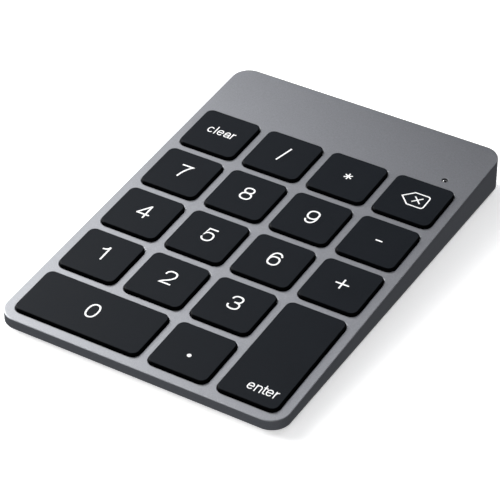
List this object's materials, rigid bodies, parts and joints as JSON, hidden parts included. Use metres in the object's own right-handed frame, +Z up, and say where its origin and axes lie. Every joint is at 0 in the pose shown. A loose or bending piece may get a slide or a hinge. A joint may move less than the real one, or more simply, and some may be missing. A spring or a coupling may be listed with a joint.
{
  "type": "numeric keypad",
  "caption": "Slim wedge-shaped wireless numeric keypad with low-profile keys that travel on scissor arms, a status light, a charging socket and rear controls.",
  "frame": {"origin": "centre of the case's footprint, on the desk plane under the rubber feet", "axes": "+X to the user's right, +Y to the rear of the keypad, +Z up"},
  "size_m": [0.0794, 0.1156, 0.01],
  "materials": {
    "case_aluminium": "fine bead-blasted and anodised, satin",
    "cover_plastic": "fine moulded texture",
    "key_plastic": "fine matte, with white legends",
    "arm_nylon": "moulded, satin",
    "steel": "bright",
    "foot_rubber": "matte",
    "dome_silicone": "milky, soft",
    "printed_film": "thin polyester film",
    "circuit_board": "solder mask",
    "battery_foil": "laminated foil pouch",
    "lead_insulation": "wire insulation",
    "switch_plastic": "moulded",
    "light_pipe": "clear moulded, polished"
  },
  "bodies": {
    "case": {"top_case": "case_aluminium", "bottom_cover": "cover_plastic", "cover_screw_front_left": "steel", "cover_screw_front_right": "steel", "cover_screw_rear_left": "steel", "cover_screw_rear_right": "steel", "rubber_foot_front_left": "foot_rubber", "rubber_foot_front_right": "foot_rubber", "rubber_foot_rear_left": "foot_rubber", "rubber_foot_rear_right": "foot_rubber", "dome_sheet": "dome_silicone", "membrane": "printed_film", "key_backplate": "steel", "main_pcb": "circuit_board", "battery": "battery_foil", "battery_lead": "lead_insulation", "usb_c_port": "steel", "power_switch_body": "switch_plastic", "pairing_switch": "switch_plastic", "led_light_pipe": "light_pipe"},
    "key_clear": {"keycap_clear": "key_plastic"},
    "key_divide": {"keycap_divide": "key_plastic"},
    "key_multiply": {"keycap_multiply": "key_plastic"},
    "key_backspace": {"keycap_backspace": "key_plastic"},
    "key_7": {"keycap_7": "key_plastic"},
    "key_8": {"keycap_8": "key_plastic"},
    "key_9": {"keycap_9": "key_plastic"},
    "key_minus": {"keycap_minus": "key_plastic"},
    "key_4": {"keycap_4": "key_plastic"},
    "key_5": {"keycap_5": "key_plastic"},
    "key_6": {"keycap_6": "key_plastic"},
    "key_plus": {"keycap_plus": "key_plastic"},
    "key_1": {"keycap_1": "key_plastic"},
    "key_2": {"keycap_2": "key_plastic"},
    "key_3": {"keycap_3": "key_plastic"},
    "key_enter": {"keycap_enter": "key_plastic"},
    "key_0": {"keycap_0": "key_plastic"},
    "key_dot": {"keycap_dot": "key_plastic"},
    "arm_clear": {"scissor_arm_clear": "arm_nylon"},
    "arm_divide": {"scissor_arm_divide": "arm_nylon"},
    "arm_multiply": {"scissor_arm_multiply": "arm_nylon"},
    "arm_backspace": {"scissor_arm_backspace": "arm_nylon"},
    "arm_7": {"scissor_arm_7": "arm_nylon"},
    "arm_8": {"scissor_arm_8": "arm_nylon"},
    "arm_9": {"scissor_arm_9": "arm_nylon"},
    "arm_minus": {"scissor_arm_minus": "arm_nylon"},
    "arm_4": {"scissor_arm_4": "arm_nylon"},
    "arm_5": {"scissor_arm_5": "arm_nylon"},
    "arm_6": {"scissor_arm_6": "arm_nylon"},
    "arm_plus": {"scissor_arm_plus": "arm_nylon"},
    "arm_1": {"scissor_arm_1": "arm_nylon"},
    "arm_2": {"scissor_arm_2": "arm_nylon"},
    "arm_3": {"scissor_arm_3": "arm_nylon"},
    "arm_enter": {"scissor_arm_enter": "arm_nylon"},
    "arm_0": {"scissor_arm_0": "arm_nylon"},
    "arm_dot": {"scissor_arm_dot": "arm_nylon"},
    "bar_enter": {"stabiliser_bar_enter": "steel"},
    "bar_0": {"stabiliser_bar_0": "steel"},
    "power_knob": {"power_switch_knob": "switch_plastic"},
    "pair_button": {"pairing_button": "switch_plastic"}
  },
  "joints": [
    {"name": "press_clear", "type": "slide", "parent": "case", "child": "key_clear", "axis": [0, 0.0537, -0.9986], "range_m": [0, 0.001], "stiffness_N_per_m": 120, "springref_m": -0.002, "deforming": ["dome_sheet"]},
    {"name": "press_divide", "type": "slide", "parent": "case", "child": "key_divide", "axis": [0, 0.0537, -0.9986], "range_m": [0, 0.001], "stiffness_N_per_m": 120, "springref_m": -0.002, "deforming": ["dome_sheet"]},
    {"name": "press_multiply", "type": "slide", "parent": "case", "child": "key_multiply", "axis": [0, 0.0537, -0.9986], "range_m": [0, 0.001], "stiffness_N_per_m": 120, "springref_m": -0.002, "deforming": ["dome_sheet"]},
    {"name": "press_backspace", "type": "slide", "parent": "case", "child": "key_backspace", "axis": [0, 0.0537, -0.9986], "range_m": [0, 0.001], "stiffness_N_per_m": 120, "springref_m": -0.002, "deforming": ["dome_sheet"]},
    {"name": "press_7", "type": "slide", "parent": "case", "child": "key_7", "axis": [0, 0.0537, -0.9986], "range_m": [0, 0.001], "stiffness_N_per_m": 120, "springref_m": -0.002, "deforming": ["dome_sheet"]},
    {"name": "press_8", "type": "slide", "parent": "case", "child": "key_8", "axis": [0, 0.0537, -0.9986], "range_m": [0, 0.001], "stiffness_N_per_m": 120, "springref_m": -0.002, "deforming": ["dome_sheet"]},
    {"name": "press_9", "type": "slide", "parent": "case", "child": "key_9", "axis": [0, 0.0537, -0.9986], "range_m": [0, 0.001], "stiffness_N_per_m": 120, "springref_m": -0.002, "deforming": ["dome_sheet"]},
    {"name": "press_minus", "type": "slide", "parent": "case", "child": "key_minus", "axis": [0, 0.0537, -0.9986], "range_m": [0, 0.001], "stiffness_N_per_m": 120, "springref_m": -0.002, "deforming": ["dome_sheet"]},
    {"name": "press_4", "type": "slide", "parent": "case", "child": "key_4", "axis": [0, 0.0537, -0.9986], "range_m": [0, 0.001], "stiffness_N_per_m": 120, "springref_m": -0.002, "deforming": ["dome_sheet"]},
    {"name": "press_5", "type": "slide", "parent": "case", "child": "key_5", "axis": [0, 0.0537, -0.9986], "range_m": [0, 0.001], "stiffness_N_per_m": 120, "springref_m": -0.002, "deforming": ["dome_sheet"]},
    {"name": "press_6", "type": "slide", "parent": "case", "child": "key_6", "axis": [0, 0.0537, -0.9986], "range_m": [0, 0.001], "stiffness_N_per_m": 120, "springref_m": -0.002, "deforming": ["dome_sheet"]},
    {"name": "press_plus", "type": "slide", "parent": "case", "child": "key_plus", "axis": [0, 0.0537, -0.9986], "range_m": [0, 0.001], "stiffness_N_per_m": 120, "springref_m": -0.002, "deforming": ["dome_sheet"]},
    {"name": "press_1", "type": "slide", "parent": "case", "child": "key_1", "axis": [0, 0.0537, -0.9986], "range_m": [0, 0.001], "stiffness_N_per_m": 120, "springref_m": -0.002, "deforming": ["dome_sheet"]},
    {"name": "press_2", "type": "slide", "parent": "case", "child": "key_2", "axis": [0, 0.0537, -0.9986], "range_m": [0, 0.001], "stiffness_N_per_m": 120, "springref_m": -0.002, "deforming": ["dome_sheet"]},
    {"name": "press_3", "type": "slide", "parent": "case", "child": "key_3", "axis": [0, 0.0537, -0.9986], "range_m": [0, 0.001], "stiffness_N_per_m": 120, "springref_m": -0.002, "deforming": ["dome_sheet"]},
    {"name": "press_enter", "type": "slide", "parent": "case", "child": "key_enter", "axis": [0, 0.0537, -0.9986], "range_m": [0, 0.001], "stiffness_N_per_m": 120, "springref_m": -0.002, "deforming": ["dome_sheet"]},
    {"name": "press_0", "type": "slide", "parent": "case", "child": "key_0", "axis": [0, 0.0537, -0.9986], "range_m": [0, 0.001], "stiffness_N_per_m": 120, "springref_m": -0.002, "deforming": ["dome_sheet"]},
    {"name": "press_dot", "type": "slide", "parent": "case", "child": "key_dot", "axis": [0, 0.0537, -0.9986], "range_m": [0, 0.001], "stiffness_N_per_m": 120, "springref_m": -0.002, "deforming": ["dome_sheet"]},
    {"name": "tilt_clear", "type": "hinge", "parent": "case", "child": "arm_clear", "pos_m": [-0.02857, 0.0332, 0.0073], "axis": [1, 0, 0], "range_deg": [0, 5.68]},
    {"name": "tilt_divide", "type": "hinge", "parent": "case", "child": "arm_divide", "pos_m": [-0.00953, 0.0332, 0.0073], "axis": [1, 0, 0], "range_deg": [0, 5.68]},
    {"name": "tilt_multiply", "type": "hinge", "parent": "case", "child": "arm_multiply", "pos_m": [0.00953, 0.0332, 0.0073], "axis": [1, 0, 0], "range_deg": [0, 5.68]},
    {"name": "tilt_backspace", "type": "hinge", "parent": "case", "child": "arm_backspace", "pos_m": [0.02857, 0.0332, 0.0073], "axis": [1, 0, 0], "range_deg": [0, 5.68]},
    {"name": "tilt_7", "type": "hinge", "parent": "case", "child": "arm_7", "pos_m": [-0.02857, 0.01458, 0.0063], "axis": [1, 0, 0], "range_deg": [0, 5.68]},
    {"name": "tilt_8", "type": "hinge", "parent": "case", "child": "arm_8", "pos_m": [-0.00953, 0.01458, 0.0063], "axis": [1, 0, 0], "range_deg": [0, 5.68]},
    {"name": "tilt_9", "type": "hinge", "parent": "case", "child": "arm_9", "pos_m": [0.00953, 0.01458, 0.0063], "axis": [1, 0, 0], "range_deg": [0, 5.68]},
    {"name": "tilt_minus", "type": "hinge", "parent": "case", "child": "arm_minus", "pos_m": [0.02857, 0.01458, 0.0063], "axis": [1, 0, 0], "range_deg": [0, 5.68]},
    {"name": "tilt_4", "type": "hinge", "parent": "case", "child": "arm_4", "pos_m": [-0.02857, -0.00405, 0.00529], "axis": [1, 0, 0], "range_deg": [0, 5.68]},
    {"name": "tilt_5", "type": "hinge", "parent": "case", "child": "arm_5", "pos_m": [-0.00953, -0.00405, 0.00529], "axis": [1, 0, 0], "range_deg": [0, 5.68]},
    {"name": "tilt_6", "type": "hinge", "parent": "case", "child": "arm_6", "pos_m": [0.00953, -0.00405, 0.00529], "axis": [1, 0, 0], "range_deg": [0, 5.68]},
    {"name": "tilt_plus", "type": "hinge", "parent": "case", "child": "arm_plus", "pos_m": [0.02857, -0.00405, 0.00529], "axis": [1, 0, 0], "range_deg": [0, 5.68]},
    {"name": "tilt_1", "type": "hinge", "parent": "case", "child": "arm_1", "pos_m": [-0.02857, -0.02267, 0.00429], "axis": [1, 0, 0], "range_deg": [0, 5.68]},
    {"name": "tilt_2", "type": "hinge", "parent": "case", "child": "arm_2", "pos_m": [-0.00953, -0.02267, 0.00429], "axis": [1, 0, 0], "range_deg": [0, 5.68]},
    {"name": "tilt_3", "type": "hinge", "parent": "case", "child": "arm_3", "pos_m": [0.00953, -0.02267, 0.00429], "axis": [1, 0, 0], "range_deg": [0, 5.68]},
    {"name": "tilt_enter", "type": "hinge", "parent": "case", "child": "arm_enter", "pos_m": [0.02857, -0.03198, 0.00379], "axis": [1, 0, 0], "range_deg": [0, 5.68]},
    {"name": "tilt_0", "type": "hinge", "parent": "case", "child": "arm_0", "pos_m": [-0.01905, -0.04129, 0.00329], "axis": [1, 0, 0], "range_deg": [0, 5.68]},
    {"name": "tilt_dot", "type": "hinge", "parent": "case", "child": "arm_dot", "pos_m": [0.00953, -0.04129, 0.00329], "axis": [1, 0, 0], "range_deg": [0, 5.68]},
    {"name": "swing_bar_enter", "type": "hinge", "parent": "case", "child": "bar_enter", "pos_m": [0.03027, -0.03708, 0.00359], "axis": [0, 0.9986, 0.0537], "range_deg": [0, 11.59]},
    {"name": "swing_bar_0", "type": "hinge", "parent": "case", "child": "bar_0", "pos_m": [-0.01905, -0.04779, 0.00301], "axis": [1, 0, 0], "range_deg": [0, 11.59]},
    {"name": "slide_power_switch", "type": "slide", "parent": "case", "child": "power_knob", "axis": [1, 0, 0], "range_m": [0, 0.0024]},
    {"name": "press_pairing_button", "type": "slide", "parent": "case", "child": "pair_button", "axis": [0, -1, 0], "range_m": [0, 0.0004], "stiffness_N_per_m": 8, "springref_m": -0.003}
  ],
  "couplings": [
    {"joint": "tilt_clear", "follows": "press_clear", "rad_per_m": 98.311},
    {"joint": "tilt_divide", "follows": "press_divide", "rad_per_m": 98.311},
    {"joint": "tilt_multiply", "follows": "press_multiply", "rad_per_m": 98.311},
    {"joint": "tilt_backspace", "follows": "press_backspace", "rad_per_m": 98.311},
    {"joint": "tilt_7", "follows": "press_7", "rad_per_m": 98.311},
    {"joint": "tilt_8", "follows": "press_8", "rad_per_m": 98.311},
    {"joint": "tilt_9", "follows": "press_9", "rad_per_m": 98.311},
    {"joint": "tilt_minus", "follows": "press_minus", "rad_per_m": 98.311},
    {"joint": "tilt_4", "follows": "press_4", "rad_per_m": 98.311},
    {"joint": "tilt_5", "follows": "press_5", "rad_per_m": 98.311},
    {"joint": "tilt_6", "follows": "press_6", "rad_per_m": 98.311},
    {"joint": "tilt_plus", "follows": "press_plus", "rad_per_m": 98.311},
    {"joint": "tilt_1", "follows": "press_1", "rad_per_m": 98.311},
    {"joint": "tilt_2", "follows": "press_2", "rad_per_m": 98.311},
    {"joint": "tilt_3", "follows": "press_3", "rad_per_m": 98.311},
    {"joint": "tilt_enter", "follows": "press_enter", "rad_per_m": 98.311},
    {"joint": "tilt_0", "follows": "press_0", "rad_per_m": 98.311},
    {"joint": "tilt_dot", "follows": "press_dot", "rad_per_m": 98.311},
    {"joint": "swing_bar_enter", "follows": "press_enter", "rad_per_m": 201.49},
    {"joint": "swing_bar_0", "follows": "press_0", "rad_per_m": 201.49}
  ]
}
